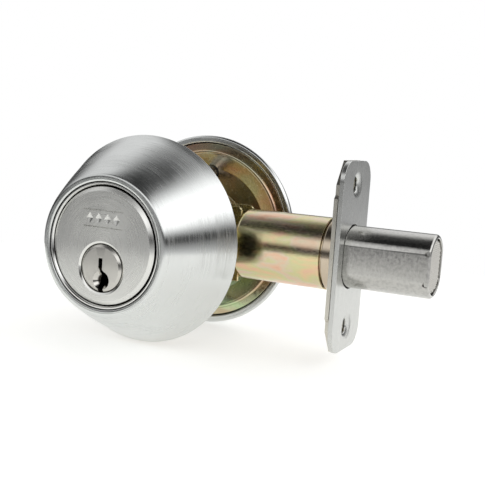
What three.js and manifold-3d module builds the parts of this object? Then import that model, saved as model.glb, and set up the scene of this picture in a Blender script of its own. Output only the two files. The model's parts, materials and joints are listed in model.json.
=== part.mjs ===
// A single-cylinder deadbolt door lock, as an assembly of its separate pieces, in millimetres.
// Frame: the origin is where the axis of the door's cross bore meets the axis of the latch,
// halfway through the door. +X runs along the bolt to the door's edge, -Y to the outside of
// the door, where the key goes, +Y to the room, and +Z is up. The bolt is thrown.

import * as THREE from 'three';
import { mergeVertices } from 'three/addons/utils/BufferGeometryUtils.js';
import Module from 'manifold-3d';

const wasm = await Module();
wasm.setup();

// ---------- Driving sizes ----------

// The door and its bores.
const doorThickness = 40;
const backset = 60.325;
const crossBoreRadius = 27;

// Clearances.
const seatGap = 0.3;
const turnGap = 0.15;
const faceGap = 0.45;

// Cylinder and plug.
const faceRadius = 16.95;
const plugRadius = 6.35;
const spindleDrop = 6.35;
const noseLip = 0.45;
const noseGap = 0.25;
const noseChamfer = 0.7;
const noseDepth = 1.5;
const cylinderDepth = 23.3;
const cylinderWall = 2.7;
const pinCount = 5;
const pinPitch = 3.81;
const firstPinDepth = 5.4;
const pinRadius = 1.45;
const chamberHeight = 12.5;
const keyPinFoot = [1.0, 0.3, 1.6, 0.7, 1.3];

// Collar and its hardened ring.
const collarBackRadius = 32;
const collarDepth = 23;
const collarWall = 1.7;
const collarLip = 2;
const collarCrown = 0.35;
const lipDepth = 1.8;
const ringWall = 0.8;

// Anchor plate, posts and screws.
const anchorThickness = 2.3;
const throughBoltOffset = 20;
const throughBoltRadius = 2.4;
const postLength = 10;
const postWall = 1.5;
const earOffset = 12.5;
const earRadius = 3.3;
const earScrewRadius = 1.8;

// Latch.
const tubeRadius = 11;
const tubeWall = 0.6;
const boltRadius = 9.4;
const boltFlat = 8.1;
const boltThrow = 25.4;
const boltEngaged = 7.3;
const lugLength = 8;
const lugFlat = 3.4;
const lugHalfHeight = 7.5;
const tailFlat = 1.2;
const rimWidth = 1.1;
const rimDepth = 1.8;
const rollerRadius = 3.1;
const turnAngle = Math.PI / 2;
const crankPinRadius = 1.6;
const crankPinLift = 0.55;
const armThickness = 1.8;
const hubRadius = 4.2;
const caseWall = 1;
const caseHalfHeight = 11.7;
const caseRear = 6.2;

// Edge plates.
const plateLength = 57.15;
const plateWidth = 25.4;
const plateCorner = 6.35;
const faceplateThickness = 1.4;
const backplateThickness = 1.2;
const backplateInset = 0.6;
const screwSpacing = 43;
const screwHoleRadius = 2.3;
const screwSinkRadius = 4.1;

// Tailpiece.
const tailpieceWidth = 5.2;
const tailpieceThickness = 2;

// Room side.
const roseRadius = 32.7;
const roseRim = 2.2;
const roseDepth = 12;
const roseWall = 1.8;
const mountFlangeRadius = 30;
const mountOpening = 14;
const mountBead = 27.2;
const beadHalf = 0.75;
const beadHeight = 0.75;
const dishRadius = 21.5;
const dishDepth = 2.4;
const mountThickness = 1.2;
const turnHubRadius = 9;
const turnShoulder = 1.5;
const gripLength = 38;
const gripThickness = 7;
const gripDepth = 16;

// Facets round a circle: for the large rings, for bores and shafts, and for screws and pins.
const largeFacets = 40;
const shaftFacets = 24;
const screwFacets = 12;
const pinFacets = 10;

// ---------- Sizes that follow ----------

const outside = -doorThickness / 2;
const inside = doorThickness / 2;
const collarFront = outside - collarDepth;
const cylinderFront = collarFront - 0.1;
const cylinderBack = cylinderFront + cylinderDepth;
const plugFront = cylinderFront - 0.2;
const noseBack = cylinderFront + noseDepth;
const plugBack = cylinderBack + seatGap + anchorThickness;
const tailpieceFront = cylinderBack + 0.4;
const boltFace = backset + boltThrow;
const boltBack = backset - boltEngaged;
const lugBack = boltBack - lugLength;
const tubeBack = backset - boltThrow - boltEngaged - 2.2;
const plateBack = backset - faceplateThickness - seatGap - backplateThickness;
const crankRadius = boltThrow / 2 / Math.sin(turnAngle / 2);
const crankRise = crankRadius * Math.cos(turnAngle / 2);
const armInner = tailFlat + seatGap;
const armOuter = armInner + armThickness;
const caseInner = armOuter + 2 * seatGap;
const roseFront = inside + roseDepth;
const gripBase = roseFront + seatGap + turnShoulder;

// ---------- Materials ----------

function metal(color, roughness) {
  return new THREE.MeshStandardMaterial({ color, roughness, metalness: 1 });
}

const satinChrome = metal(0xb8b9b6, 0.36);
const polishedNickel = metal(0xcac8c2, 0.18);
const dichromate = metal(0xc6ab68, 0.34);
const hardenedSteel = metal(0x77787a, 0.42);
const zincSteel = metal(0xa4a6a8, 0.45);
const springSteel = metal(0x8f9194, 0.3);
const brass = metal(0xb79a55, 0.35);
const nickelSilver = metal(0xb6b2a4, 0.32);

// ---------- Geometry helpers ----------

const alongX = new THREE.Matrix4().makeBasis(
  new THREE.Vector3(0, 1, 0),
  new THREE.Vector3(0, 0, 1),
  new THREE.Vector3(1, 0, 0),
);

// One closed body with shared points merged, empty triangles dropped and faces pointing out.
function closed(geometry) {
  const bare = new THREE.BufferGeometry();
  bare.setAttribute('position', geometry.getAttribute('position'));
  bare.setIndex(geometry.getIndex());
  const merged = mergeVertices(bare, 1e-4);
  const points = merged.getAttribute('position');
  const corners = merged.getIndex().array;
  const kept = [];
  const [a, b, c] = [new THREE.Vector3(), new THREE.Vector3(), new THREE.Vector3()];
  let volume = 0;
  for (let i = 0; i < corners.length; i += 3) {
    const [p, q, r] = [corners[i], corners[i + 1], corners[i + 2]];
    if (p === q || q === r || r === p) continue;
    kept.push(p, q, r);
    a.fromBufferAttribute(points, p);
    b.fromBufferAttribute(points, q);
    c.fromBufferAttribute(points, r);
    volume += a.dot(b.cross(c));
  }
  if (volume < 0) kept.reverse();
  merged.setIndex(new THREE.BufferAttribute(new Uint32Array(kept), 1));
  return merged;
}

function toManifold(geometry) {
  const body = closed(geometry);
  return new wasm.Manifold(new wasm.Mesh({
    numProp: 3,
    vertProperties: body.getAttribute('position').array,
    triVerts: body.getIndex().array,
  }));
}

function fromManifold(manifold) {
  const mesh = manifold.getMesh();
  const geometry = new THREE.BufferGeometry();
  geometry.setAttribute('position', new THREE.BufferAttribute(mesh.vertProperties, 3));
  geometry.setIndex(new THREE.BufferAttribute(mesh.triVerts, 1));
  return geometry;
}

function join(first, ...others) {
  return fromManifold(others.reduce((sum, next) => sum.add(toManifold(next)), toManifold(first)));
}

function cut(first, ...tools) {
  return fromManifold(tools.reduce((rest, next) => rest.subtract(toManifold(next)), toManifold(first)));
}

// A profile of [radius, distance along the axis] points turned about the axis 'x', 'y' or 'z'.
function turned(profile, axis = 'y', segments = largeFacets) {
  const points = profile.map(([radius, along]) => new THREE.Vector2(radius, along));
  const geometry = new THREE.LatheGeometry(points, segments);
  if (axis === 'x') geometry.rotateZ(-Math.PI / 2);
  if (axis === 'z') geometry.rotateX(Math.PI / 2);
  return geometry;
}

// A ring's profile closes on itself.
function ring(profile, axis, segments) {
  return turned([...profile, profile[0]], axis, segments);
}

function rod(radius, from, to, axis, segments = screwFacets) {
  return turned([[0, from], [radius, from], [radius, to], [0, to]], axis, segments);
}

function sleeve(inner, outer, from, to, axis, segments = shaftFacets) {
  return ring([[inner, from], [outer, from], [outer, to], [inner, to]], axis, segments);
}

// An outline in (y, z), from one x to another.
function extrudedX(shape, from, to, curveSegments = 6) {
  const geometry = new THREE.ExtrudeGeometry(shape, {
    depth: to - from,
    bevelEnabled: false,
    curveSegments,
  });
  return geometry.applyMatrix4(alongX).translate(from, 0, 0);
}

// An outline in (x, z), from one y to another.
function extrudedY(shape, from, to, curveSegments = 6) {
  const geometry = new THREE.ExtrudeGeometry(shape, {
    depth: to - from,
    bevelEnabled: false,
    curveSegments,
  });
  return geometry.rotateX(Math.PI / 2).translate(0, to, 0);
}

function block(x, y, z) {
  const geometry = new THREE.BoxGeometry(x[1] - x[0], y[1] - y[0], z[1] - z[0]);
  return geometry.translate((x[0] + x[1]) / 2, (y[0] + y[1]) / 2, (z[0] + z[1]) / 2);
}

function outline(points) {
  return new THREE.Shape(points.map(([x, y]) => new THREE.Vector2(x, y)));
}

function roundedRectangle(width, height, radius) {
  const [x, y] = [width / 2, height / 2];
  const shape = new THREE.Shape();
  shape.absarc(x - radius, y - radius, radius, 0, Math.PI / 2, false);
  shape.absarc(-x + radius, y - radius, radius, Math.PI / 2, Math.PI, false);
  shape.absarc(-x + radius, -y + radius, radius, Math.PI, 1.5 * Math.PI, false);
  shape.absarc(x - radius, -y + radius, radius, 1.5 * Math.PI, 2 * Math.PI, false);
  shape.closePath();
  return shape;
}

// The bolt's section: a circle with its two sides cut flat.
function crowned(radius, flat) {
  const corner = Math.acos(flat / radius);
  const shape = new THREE.Shape();
  shape.absarc(0, 0, radius, corner, Math.PI - corner, false);
  shape.absarc(0, 0, radius, Math.PI + corner, 2 * Math.PI - corner, false);
  shape.closePath();
  return shape;
}

class Helix extends THREE.Curve {
  constructor(radius, height, turns) {
    super();
    Object.assign(this, { radius, height, turns });
  }

  getPoint(t, target = new THREE.Vector3()) {
    const angle = 2 * Math.PI * this.turns * t;
    return target.set(this.radius * Math.cos(angle), this.radius * Math.sin(angle), this.height * t);
  }
}

const lock = new THREE.Group();

function place(group, name, geometry, material, x = 0, y = 0, z = 0) {
  const shape = closed(geometry);
  shape.computeVertexNormals();
  const mesh = new THREE.Mesh(shape, material);
  mesh.name = name;
  mesh.position.set(x, y, z);
  group.add(mesh);
}

// ---------- Collar ----------

const ringBore = faceRadius + faceGap;
const ringOuter = ringBore + ringWall;
const lipBore = ringOuter + seatGap;
const collarFrontRadius = lipBore + collarLip;
const collarSlope = (collarBackRadius - collarFrontRadius) / collarDepth;
const lipBack = collarFront + lipDepth;

function collarInside(y) {
  return collarFrontRadius + collarSlope * (y - collarFront) - collarWall - 0.3;
}

function makeCollar() {
  const edge = 0.5;
  const crown = [1, 2, 3].map((step) => {
    const depth = step * collarDepth / 4;
    const bulge = collarCrown * (1 - (step / 2 - 1) ** 2);
    return [collarFrontRadius + collarSlope * depth + bulge, collarFront + depth];
  });
  place(lock, 'collar', ring([
    [lipBore, collarFront],
    [collarFrontRadius - 2 * edge, collarFront],
    [collarFrontRadius, collarFront + edge],
    ...crown,
    [collarBackRadius, outside - edge],
    [collarBackRadius - edge, outside],
    [collarInside(outside), outside],
    [collarInside(lipBack), lipBack],
    [lipBore, lipBack],
  ], 'y', largeFacets), satinChrome);
  const flangeFront = lipBack + seatGap;
  const flangeBack = flangeFront + 1;
  place(lock, 'collar_ring', ring([
    [ringBore, collarFront + 0.35],
    [ringOuter, collarFront + 0.35],
    [ringOuter, flangeFront],
    [collarInside(flangeFront) - seatGap, flangeFront],
    [collarInside(flangeFront) - seatGap, flangeBack],
    [ringBore, flangeBack],
  ], 'y', largeFacets), hardenedSteel);
  return flangeBack;
}

// ---------- Cylinder, plug and pins ----------

const cylinder = new THREE.Group();
cylinder.position.z = -spindleDrop;
lock.add(cylinder);

const boreRadius = plugRadius + turnGap;
const chamberRadius = pinRadius + turnGap;
const bibleHalfWidth = chamberRadius + 2.4;
const capSeat = plugRadius + chamberHeight;
const capHeight = 0.9;
const bibleTop = capSeat + capHeight + 0.8;
const capHalfWidth = 2;

function pinDepth(index) {
  return cylinderFront + firstPinDepth + index * pinPitch;
}

function makeCylinderBody(flangeFront) {
  const flangeBack = flangeFront + 2.2;
  const barrelRadius = boreRadius + cylinderWall;
  const start = flangeBack - 0.5;
  const solid = join(
    rod(faceRadius, cylinderFront, flangeBack, 'y', largeFacets).translate(0, 0, spindleDrop),
    rod(faceRadius + 1.4, flangeFront, flangeBack, 'y', largeFacets).translate(0, 0, spindleDrop),
    rod(barrelRadius, start, cylinderBack, 'y', shaftFacets),
    block([-bibleHalfWidth, bibleHalfWidth], [start, cylinderBack], [0, bibleTop]),
    block([-earOffset, earOffset], [start, cylinderBack], [2, 6.5]),
    rod(earRadius, start, cylinderBack, 'y').translate(-earOffset, 0, 4.25),
    rod(earRadius, start, cylinderBack, 'y').translate(earOffset, 0, 4.25),
  );
  const noseBore = plugRadius + noseLip + noseGap;
  const tools = [
    rod(boreRadius, cylinderFront - 1, cylinderBack + 1, 'y', shaftFacets),
    turned([
      [0, cylinderFront - 1],
      [noseBore + noseChamfer, cylinderFront - 1],
      [noseBore + noseChamfer, cylinderFront],
      [noseBore, cylinderFront + noseChamfer],
      [noseBore, noseBack + turnGap],
      [0, noseBack + turnGap],
    ], 'y', shaftFacets),
    block(
      [-capHalfWidth - seatGap, capHalfWidth + seatGap],
      [pinDepth(0) - 3, cylinderBack + 1],
      [capSeat, bibleTop + 1],
    ),
  ];
  for (let i = 0; i < pinCount; i += 1) {
    tools.push(rod(chamberRadius, 0, capSeat + 0.5, 'z', pinFacets).translate(0, pinDepth(i), 0));
  }
  for (const side of [-1, 1]) {
    const hole = rod(earScrewRadius + seatGap, cylinderBack - 11, cylinderBack + 1, 'y', screwFacets);
    tools.push(hole.translate(side * earOffset, 0, 4.25));
    const drillPin = rod(1.2 + seatGap, cylinderFront + 2.5, cylinderFront + 9, 'y', pinFacets);
    tools.push(drillPin.translate(side * (boreRadius + 1.9), 0, 9.5));
  }
  place(cylinder, 'cylinder_body', cut(solid, ...tools), nickelSilver);
  place(cylinder, 'chamber_cap', block(
    [-capHalfWidth, capHalfWidth],
    [pinDepth(0) - 2.7, cylinderBack],
    [capSeat + seatGap, capSeat + seatGap + capHeight],
  ), brass);
}

// The keyway's outline in (x, z) from the plug's axis; it is open at the bottom of the plug.
const keyway = outline([
  [-0.75, 2.9], [-0.75, 0.1], [-0.15, -0.6], [-0.15, -2.3], [-0.75, -3], [-0.75, -9],
  [1, -9], [1, -3.3], [1.5, -2.8], [1.5, -1.3], [0.55, -0.4], [0.55, 2.9],
]);

function makePlug() {
  const nose = plugRadius + noseLip;
  const leadIn = turned([[0, plugFront - 1], [3.9, plugFront - 1], [0, plugFront + 2.9]], 'y', shaftFacets);
  leadIn.translate(0.3, 0, -3.5);
  const tools = [
    extrudedY(keyway, plugFront - 1, plugBack + 1),
    leadIn,
    block(
      [-tailpieceThickness / 2 - seatGap, tailpieceThickness / 2 + seatGap],
      [tailpieceFront - seatGap, plugBack + 1],
      [-tailpieceWidth / 2 - seatGap, tailpieceWidth / 2 + seatGap],
    ),
    sleeve(plugRadius - 1, plugRadius + 1, cylinderBack + 0.5, cylinderBack + 1.7, 'y', shaftFacets),
  ];
  for (let i = 0; i < pinCount; i += 1) {
    tools.push(rod(chamberRadius, 0, plugRadius + 1, 'z', pinFacets).translate(0, pinDepth(i), 0));
  }
  const blank = turned([
    [0, plugFront],
    [nose - 0.5, plugFront],
    [nose, plugFront + 0.5],
    [nose, noseBack],
    [plugRadius, noseBack],
    [plugRadius, plugBack],
    [0, plugBack],
  ], 'y', shaftFacets);
  place(cylinder, 'plug', cut(blank, ...tools), polishedNickel);
  const clip = sleeve(plugRadius - 0.7, plugRadius + 1.7, cylinderBack + 0.7, cylinderBack + 1.5, 'y');
  const mouth = block([-3, 3], [cylinderBack, cylinderBack + 3], [-plugRadius - 4, -plugRadius + 1.6]);
  place(cylinder, 'plug_clip', cut(clip, mouth), springSteel);
}

function makePins() {
  const shear = plugRadius;
  const driverLength = 5.3;
  const springFoot = shear + turnGap + driverLength + 0.4;
  const wireRadius = 0.2;
  const wire = new THREE.Shape(new THREE.EllipseCurve(0, 0, wireRadius, wireRadius).getPoints(5).slice(0, 5));
  const springHeight = capSeat - springFoot - 0.2;
  const spring = new THREE.ExtrudeGeometry(wire, {
    steps: 32,
    extrudePath: new Helix(pinRadius - 0.35, springHeight, 4),
  });
  for (let i = 0; i < pinCount; i += 1) {
    const foot = keyPinFoot[i];
    const keyPin = turned([
      [0, foot],
      [0.4, foot],
      [pinRadius, foot + 1.1],
      [pinRadius, shear - 0.2],
      [0, shear - 0.2],
    ], 'z', pinFacets);
    const number = i + 1;
    place(cylinder, `key_pin_${number}`, keyPin, brass, 0, pinDepth(i), 0);
    const driver = rod(pinRadius, shear + turnGap, shear + turnGap + driverLength, 'z', pinFacets);
    place(cylinder, `driver_pin_${number}`, driver, nickelSilver, 0, pinDepth(i), 0);
    place(cylinder, `pin_spring_${number}`, spring, springSteel, 0, pinDepth(i), springFoot);
  }
  for (const [side, word] of [[-1, 'left'], [1, 'right']]) {
    const drillPin = rod(1.2, cylinderFront + 2.8, cylinderFront + 8.7, 'y', pinFacets);
    place(cylinder, `drill_pin_${word}`, drillPin, hardenedSteel, side * (boreRadius + 1.9), 0, 9.5);
  }
}

// ---------- Anchor plate, posts and screws ----------

const anchorFront = cylinderBack + seatGap;
const anchorBack = anchorFront + anchorThickness;
const spigotRadius = throughBoltRadius + seatGap + 0.5;

function makeAnchor() {
  const earHeight = 4.25 - spindleDrop;
  const holes = [
    rod(plugRadius + 3, anchorFront - 1, anchorBack + 1, 'y', shaftFacets).translate(0, 0, -spindleDrop),
  ];
  for (const side of [-1, 1]) {
    holes.push(rod(earScrewRadius + seatGap, anchorFront - 1, anchorBack + 1, 'y', screwFacets)
      .translate(side * earOffset, 0, earHeight));
    holes.push(rod(spigotRadius + seatGap, anchorFront - 1, anchorBack + 1, 'y', screwFacets)
      .translate(0, 0, side * throughBoltOffset));
  }
  const disc = rod(crossBoreRadius - 2, anchorFront, anchorBack, 'y', largeFacets);
  place(lock, 'anchor_plate', cut(disc, ...holes), zincSteel);
  const post = ring([
    [throughBoltRadius + seatGap, anchorFront],
    [spigotRadius, anchorFront],
    [spigotRadius, anchorBack + seatGap],
    [throughBoltRadius + seatGap + postWall, anchorBack + seatGap],
    [throughBoltRadius + seatGap + postWall, anchorBack + postLength],
    [throughBoltRadius + seatGap, anchorBack + postLength],
  ], 'y', screwFacets);
  place(lock, 'post_top', post, zincSteel, 0, 0, throughBoltOffset);
  place(lock, 'post_bottom', post, zincSteel, 0, 0, -throughBoltOffset);
  const head = anchorBack + seatGap;
  const screw = turned([
    [0, cylinderBack - 10],
    [earScrewRadius, cylinderBack - 10],
    [earScrewRadius, head],
    [earScrewRadius + 1.5, head],
    [earScrewRadius + 1.5, head + 1.5],
    [0, head + 1.9],
  ], 'y', screwFacets);
  place(lock, 'cylinder_screw_left', screw, zincSteel, -earOffset, 0, earHeight);
  place(lock, 'cylinder_screw_right', screw, zincSteel, earOffset, 0, earHeight);
}

// ---------- Latch tube and edge plates ----------

const bushBore = boltRadius + 0.2;
const bushSpigot = tubeRadius - tubeWall - seatGap;
const bushFront = plateBack - seatGap;
const bushShoulder = bushFront - 2.8;
const tubeFront = bushShoulder - 0.7;
const tubeThroat = tubeRadius - 2;

function makeTube() {
  const wall = tubeWall;
  place(lock, 'latch_tube', ring([
    [tubeThroat, tubeBack],
    [tubeRadius - 1.2, tubeBack],
    [tubeRadius - 0.35, tubeBack + 0.45],
    [tubeRadius, tubeBack + 1.3],
    [tubeRadius, tubeFront],
    [tubeRadius - wall, tubeFront],
    [tubeRadius - wall, tubeBack + 1.4],
    [tubeThroat, tubeBack + 0.8],
  ], 'x', largeFacets), dichromate);
  place(lock, 'front_bush', ring([
    [bushBore, bushShoulder - 5],
    [bushSpigot, bushShoulder - 5],
    [bushSpigot, bushShoulder],
    [tubeRadius, bushShoulder],
    [tubeRadius, bushFront],
    [bushBore, bushFront],
  ], 'x', largeFacets), polishedNickel);
}

function makePlates() {
  const opening = crowned(boltRadius + seatGap, boltFlat + seatGap);
  const front = roundedRectangle(plateWidth, plateLength, plateCorner);
  front.holes.push(opening);
  const faceplateBack = backset - faceplateThickness;
  const sinks = [-1, 1].map((side) => turned([
    [0, faceplateBack - 1],
    [screwHoleRadius, faceplateBack - 1],
    [screwHoleRadius, faceplateBack],
    [screwSinkRadius, backset],
    [screwSinkRadius, backset + 1],
    [0, backset + 1],
  ], 'x', screwFacets).translate(0, 0, side * screwSpacing / 2));
  place(lock, 'faceplate', cut(extrudedX(front, faceplateBack, backset), ...sinks), satinChrome);
  const [w, h] = [plateWidth / 2 - backplateInset, plateLength / 2];
  const corner = [[w, h - 11], [w - 1, h - 10], [w - 1, h - 7], [w - 6, h]];
  const back = outline([
    ...corner,
    ...corner.map(([y, z]) => [-y, z]).reverse(),
    ...corner.map(([y, z]) => [-y, -z]),
    ...corner.map(([y, z]) => [y, -z]).reverse(),
  ]);
  back.holes.push(crowned(boltRadius + seatGap, boltFlat + seatGap));
  for (const side of [-1, 1]) {
    const hole = new THREE.Path().absarc(0, side * screwSpacing / 2, screwHoleRadius, 0, 2 * Math.PI, true);
    back.holes.push(hole);
  }
  place(lock, 'backplate', extrudedX(back, plateBack, plateBack + backplateThickness), zincSteel);
}

// ---------- Crank case ----------

const caseFront = tubeBack - seatGap;
const caseBack = -crankRadius * Math.sin(turnAngle / 2) - caseRear;
const caseTabFront = boltBack - boltThrow - seatGap;
const spacerRadius = 1.6;
const spacerHeight = -8.2;
const spacers = [
  ['case_spacer_rear', caseBack + 3.2, spacerHeight + 2],
  ['case_spacer_middle', -9.5, spacerHeight],
  ['case_spacer_front', lugBack - boltThrow - 5.6, spacerHeight],
];

function makeCase() {
  const h = caseHalfHeight;
  const tab = lugHalfHeight - 0.5;
  const side = new THREE.Shape();
  side.moveTo(caseFront, -h);
  side.lineTo(caseFront, -tab);
  side.lineTo(caseTabFront, -tab);
  side.lineTo(caseTabFront, tab);
  side.lineTo(caseFront, tab);
  side.lineTo(caseFront, h - 1);
  side.lineTo(caseFront - 1, h);
  side.lineTo(caseBack + 4, h);
  side.lineTo(caseBack, h - 4);
  side.lineTo(caseBack, -h + 5);
  side.lineTo(caseBack + 5, -h);
  side.closePath();
  const spindleHole = new THREE.Path().absarc(0, -spindleDrop, hubRadius + turnGap, 0, 2 * Math.PI, true);
  side.holes.push(spindleHole);
  for (const [, x, z] of spacers) {
    side.holes.push(new THREE.Path().absarc(x, z, 1 + seatGap, 0, 2 * Math.PI, true));
  }
  const outer = caseInner + caseWall;
  place(lock, 'case_plate_outside', extrudedY(side, -outer, -caseInner), dichromate);
  place(lock, 'case_plate_inside', extrudedY(side, caseInner, outer), dichromate);
  const shoulder = caseInner - seatGap;
  for (const [name, x, z] of spacers) {
    const spacer = turned([
      [0, -outer], [1, -outer], [1, -shoulder], [spacerRadius, -shoulder],
      [spacerRadius, shoulder], [1, shoulder], [1, outer], [0, outer],
    ], 'y', screwFacets);
    place(lock, name, spacer, zincSteel, x, 0, z);
  }
  const low = -spindleDrop - hubRadius - 0.25;
  const rise = spacerHeight - spacerRadius - 0.3;
  const [back, front] = [spacers[1][1] - 1, spacers[2][1] + 1];
  const leaf = outline([
    [back, rise], [-5, low], [5, low], [front, rise],
    [front, rise - 0.4], [5, low - 0.4], [-5, low - 0.4], [back, rise - 0.4],
  ]);
  place(lock, 'detent_leaf', extrudedY(leaf, -tailFlat, tailFlat), springSteel);
}

// ---------- Crank ----------

function makeCrank() {
  const crank = new THREE.Group();
  crank.position.z = -spindleDrop;
  lock.add(crank);
  const angle = (Math.PI - turnAngle) / 2;
  const [pinX, pinZ] = [crankRadius * Math.cos(angle), crankRadius * Math.sin(angle)];
  const tip = crankPinRadius + 1.3;
  const root = hubRadius + 1.6;
  const arm = new THREE.Shape();
  arm.absarc(0, 0, root, angle + Math.PI / 2, angle + 1.5 * Math.PI, false);
  arm.absarc(pinX, pinZ, tip, angle - Math.PI / 2, angle + Math.PI / 2, false);
  arm.closePath();
  const flats = hubRadius - 0.5;
  const core = join(
    rod(hubRadius, -caseInner - caseWall - 0.4, caseInner + caseWall + 0.4, 'y', shaftFacets),
    extrudedY(arm, armInner, armOuter),
    extrudedY(arm, -armOuter, -armInner),
  );
  const slot = block(
    [-tailpieceThickness / 2 - turnGap, tailpieceThickness / 2 + turnGap],
    [-caseInner - caseWall - 1, caseInner + caseWall + 1],
    [-tailpieceWidth / 2 - turnGap, tailpieceWidth / 2 + turnGap],
  );
  const holes = [
    slot,
    rod(crankPinRadius + seatGap, -armOuter - 1, armOuter + 1, 'y').translate(pinX, 0, pinZ),
    block([-9, 9], [-armInner, armInner], [-9, -flats]),
    block([flats, 9], [-armInner, armInner], [-9, 9]),
  ];
  place(crank, 'crank_hub', cut(core, ...holes), zincSteel);
  const pin = rod(crankPinRadius, -armOuter - seatGap, armOuter + seatGap, 'y');
  place(crank, 'crank_pin', pin, hardenedSteel, pinX, 0, pinZ);
  return { pinX, pinZ: pinZ - spindleDrop };
}

// ---------- Bolt ----------

function makeBolt({ pinX, pinZ }) {
  const section = crowned(boltRadius, boltFlat);
  const recessFloor = boltFace - rimDepth;
  const lugPins = [-4, 4];
  const lugPinX = lugBack + 3.5;
  const lugPinRadius = 1.2;
  const lugSlot = boltBack - 1;
  const tools = [
    extrudedX(crowned(boltRadius - rimWidth, boltFlat - rimWidth), recessFloor, boltFace + 1),
    rod(rollerRadius + seatGap, boltBack + 2, recessFloor + 0.5, 'x', screwFacets),
    block([lugBack - 1, lugSlot], [-tailFlat - seatGap, tailFlat + seatGap], [-8, 8]),
  ];
  for (const z of lugPins) {
    const rivetHole = rod(lugPinRadius + seatGap, -lugFlat - 1, lugFlat + 1, 'y', pinFacets);
    tools.push(rivetHole.translate(lugPinX, 0, z));
  }
  const shell = join(
    extrudedX(section, boltBack, boltFace),
    block([lugBack, boltBack + 0.5], [-lugFlat, lugFlat], [-lugHalfHeight, lugHalfHeight]),
  );
  place(lock, 'bolt_shell', cut(shell, ...tools), polishedNickel);
  const insert = crowned(boltRadius - rimWidth - seatGap, boltFlat - rimWidth - seatGap);
  place(lock, 'bolt_end', extrudedX(insert, recessFloor + seatGap, boltFace - 0.2), polishedNickel);
  const roller = rod(rollerRadius, boltBack + 2 + seatGap, recessFloor, 'x', screwFacets);
  place(lock, 'bolt_roller', roller, hardenedSteel);

  const slack = crankRadius * 0.03;
  const half = crankPinRadius + slack + 0.16;
  const prong = 2;
  const slotFoot = pinZ - crankPinRadius - crankPinLift;
  const forkTop = Math.min(caseHalfHeight - 0.7, crankRadius - spindleDrop);
  const underside = -spindleDrop + hubRadius + 0.55;
  const neck = pinX + half + prong;
  const tailPlate = outline([
    [pinX - half - prong, underside], [lugBack - 2, underside], [lugBack - 2, 1 - lugHalfHeight],
    [lugSlot - seatGap, 1 - lugHalfHeight], [lugSlot - seatGap, lugHalfHeight - 1],
    [neck + 4.5, lugHalfHeight - 1], [neck, forkTop], [pinX + half, forkTop],
    [pinX + half, slotFoot], [pinX - half, slotFoot], [pinX - half, forkTop],
    [pinX - half - prong, forkTop],
  ]);
  for (const z of lugPins) {
    tailPlate.holes.push(new THREE.Path().absarc(lugPinX, z, lugPinRadius + seatGap, 0, 2 * Math.PI, true));
  }
  place(lock, 'bolt_tail', extrudedY(tailPlate, -tailFlat, tailFlat, 5), zincSteel);
  const rivet = rod(lugPinRadius, -lugFlat, lugFlat, 'y', pinFacets);
  place(lock, 'tail_rivet_bottom', rivet, zincSteel, lugPinX, 0, lugPins[0]);
  place(lock, 'tail_rivet_top', rivet, zincSteel, lugPinX, 0, lugPins[1]);
}

// ---------- Tailpiece and thumbturn ----------

const room = new THREE.Group();
room.position.z = -spindleDrop;
lock.add(room);

const socketRadius = tailpieceWidth / 2 + 2.2;

function makeTurn() {
  const tailpieceBack = roseFront - 2.5;
  place(room, 'tailpiece', block(
    [-tailpieceThickness / 2, tailpieceThickness / 2],
    [tailpieceFront, tailpieceBack],
    [-tailpieceWidth / 2, tailpieceWidth / 2],
  ), zincSteel);
  const hubFoot = inside + 5;
  const clipFront = roseFront - roseWall - 2;
  const clipGroove = turnHubRadius - 1;
  const hub = turned([
    [0, hubFoot],
    [turnHubRadius - 0.5, hubFoot],
    [turnHubRadius, hubFoot + 0.5],
    [turnHubRadius, clipFront - 0.2],
    [clipGroove, clipFront - 0.2],
    [clipGroove, clipFront + 1.2],
    [turnHubRadius, clipFront + 1.2],
    [turnHubRadius, gripBase - turnShoulder],
    [turnHubRadius + 2, gripBase - turnShoulder],
    [turnHubRadius + 2, gripBase - 0.5],
    [turnHubRadius + 1.3, gripBase],
    [0, gripBase],
  ], 'y', shaftFacets);
  const bevel = 0.8;
  const gripShape = roundedRectangle(gripLength - 2 * bevel, gripThickness - 2 * bevel, 2.6);
  const grip = new THREE.ExtrudeGeometry(gripShape, {
    depth: gripDepth - bevel,
    bevelThickness: bevel,
    bevelSize: bevel,
    bevelSegments: 1,
    curveSegments: 4,
  });
  grip.rotateX(Math.PI / 2).translate(0, gripBase + gripDepth - bevel, 0);
  const bore = rod(socketRadius + seatGap, hubFoot - 1, roseFront, 'y', shaftFacets);
  place(room, 'thumbturn', cut(join(hub, grip), bore), satinChrome);
  const socket = rod(socketRadius, inside + 4, roseFront - seatGap, 'y', shaftFacets);
  const slot = block(
    [-tailpieceThickness / 2 - turnGap, tailpieceThickness / 2 + turnGap],
    [inside, tailpieceBack + 1],
    [-tailpieceWidth / 2 - turnGap, tailpieceWidth / 2 + turnGap],
  );
  place(room, 'turn_socket', cut(socket, slot), zincSteel);
  const clip = sleeve(clipGroove + seatGap, turnHubRadius + 1.6, clipFront, clipFront + 1, 'y', shaftFacets);
  const mouth = block([-3, 3], [clipFront - 1, clipFront + 2], [-turnHubRadius - 3, -turnHubRadius + 2.2]);
  place(room, 'turn_clip', cut(clip, mouth), springSteel);
  place(room, 'turn_washer', sleeve(
    turnHubRadius + seatGap,
    turnHubRadius + 2.6,
    clipFront + 1.3,
    roseFront - roseWall - 0.2,
    'y',
    40,
  ), brass);
}

// ---------- Rose, mounting plate and through bolts ----------

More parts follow.
